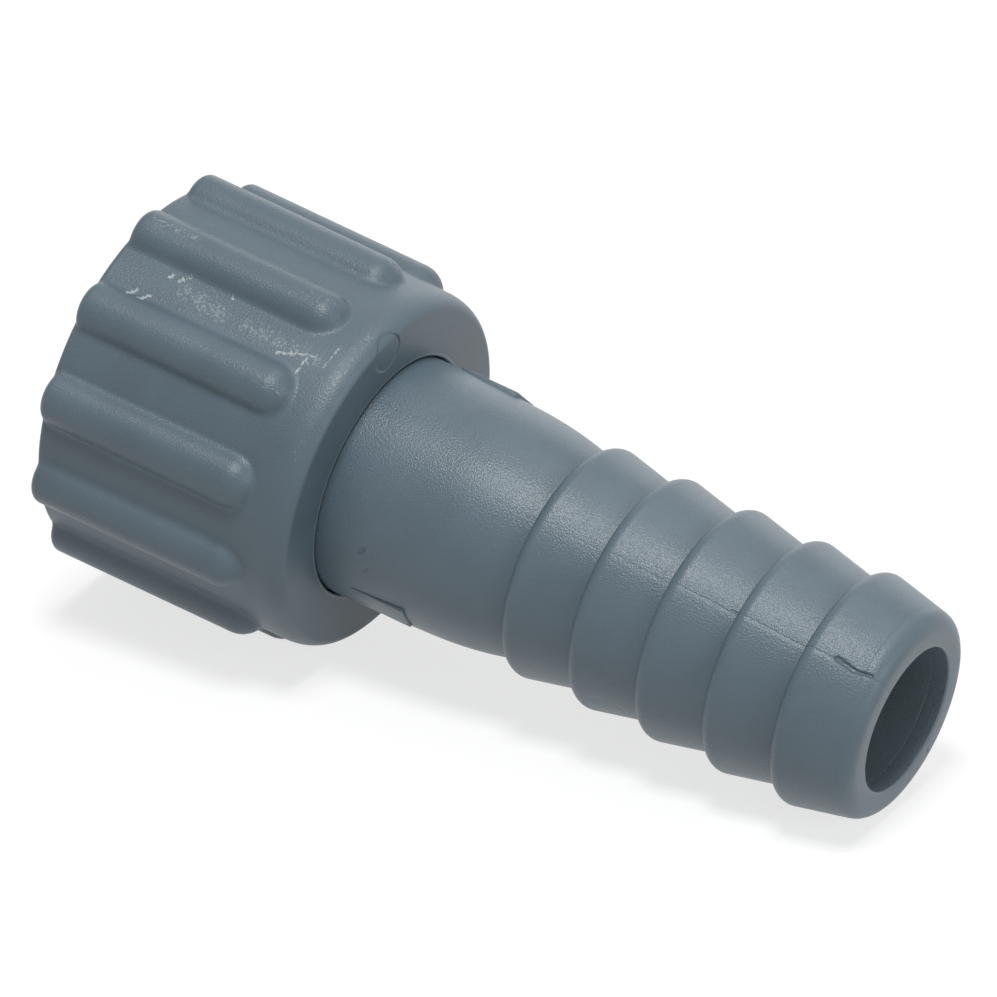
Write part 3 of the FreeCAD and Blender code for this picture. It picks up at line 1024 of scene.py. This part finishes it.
def add_world():
    """A plain surround: even light on the object, white behind it."""
    world = bpy.data.worlds.new("surround")
    bpy.context.scene.world = world
    world.use_nodes = True
    tree = world.node_tree
    light = tree.nodes["Background"]
    light.inputs["Color"].default_value = (1, 1, 1, 1)
    light.inputs["Strength"].default_value = SURROUND
    white = add_node(tree, "ShaderNodeBackground", Color=(1, 1, 1, 1), Strength=WHITE)
    mix = add_node(tree, "ShaderNodeMixShader", Fac=seen_directly(tree))
    tree.links.new(light.outputs[0], mix.inputs[1])
    tree.links.new(white.outputs[0], mix.inputs[2])
    tree.links.new(mix.outputs[0], tree.nodes["World Output"].inputs["Surface"])


def add_floor():
    """A plain pale floor, white to the camera but for the object's own shadow."""
    bm = bmesh.new()
    bmesh.ops.create_grid(bm, x_segments=1, y_segments=1, size=FLOOR_HALF)
    mesh = bpy.data.meshes.new("floor")
    bm.to_mesh(mesh)
    bm.free()
    floor = bpy.data.objects.new("floor", mesh)
    bpy.context.scene.collection.objects.link(floor)
    material, tree, shader = new_material("pale_floor")
    shader.inputs["Base Color"].default_value = (FLOOR_BOUNCE,) * 3 + (1,)
    shader.inputs["Roughness"].default_value = 1.0
    shader.inputs["Specular IOR Level"].default_value = 0.0
    matt = add_node(tree, "ShaderNodeBsdfDiffuse", Color=(FLOOR_SEEN,) * 3 + (1,))
    glow = add_node(tree, "ShaderNodeEmission", Color=(1, 1, 1, 1), Strength=FLOOR_GLOW)
    white = add_node(tree, "ShaderNodeAddShader")
    tree.links.new(matt.outputs[0], white.inputs[0])
    tree.links.new(glow.outputs[0], white.inputs[1])
    mix = add_node(tree, "ShaderNodeMixShader", Fac=seen_directly(tree))
    tree.links.new(shader.outputs[0], mix.inputs[1])
    tree.links.new(white.outputs[0], mix.inputs[2])
    tree.links.new(mix.outputs[0], tree.nodes["Material Output"].inputs["Surface"])
    mesh.materials.append(material)


def main():
    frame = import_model()
    seat = fitting_seat(frame)
    groups = {
        "grain": spark_grain_group(),
        "clouds": flow_clouds_group(),
        "stroke": stroke_group(),
        "pale_specks": pale_speckle_group(),
    }
    make_nut(seat, moulded_plastic("nut_plastic", seat, groups, nut_marks, NUT_LOOK))
    make_tail(
        seat, moulded_plastic("tail_plastic", seat, groups, tail_marks, TAIL_LOOK)
    )
    make_washer(seat, rubber("washer_rubber", seat, groups))
    add_camera(seat)
    turn = camera_turn(seat)
    for name, direction, size, power in LAMPS:
        add_lamp(name, turn @ Vector(direction), size, power)
    add_world()
    add_floor()
    bpy.context.scene.view_settings.view_transform = "Standard"


main()
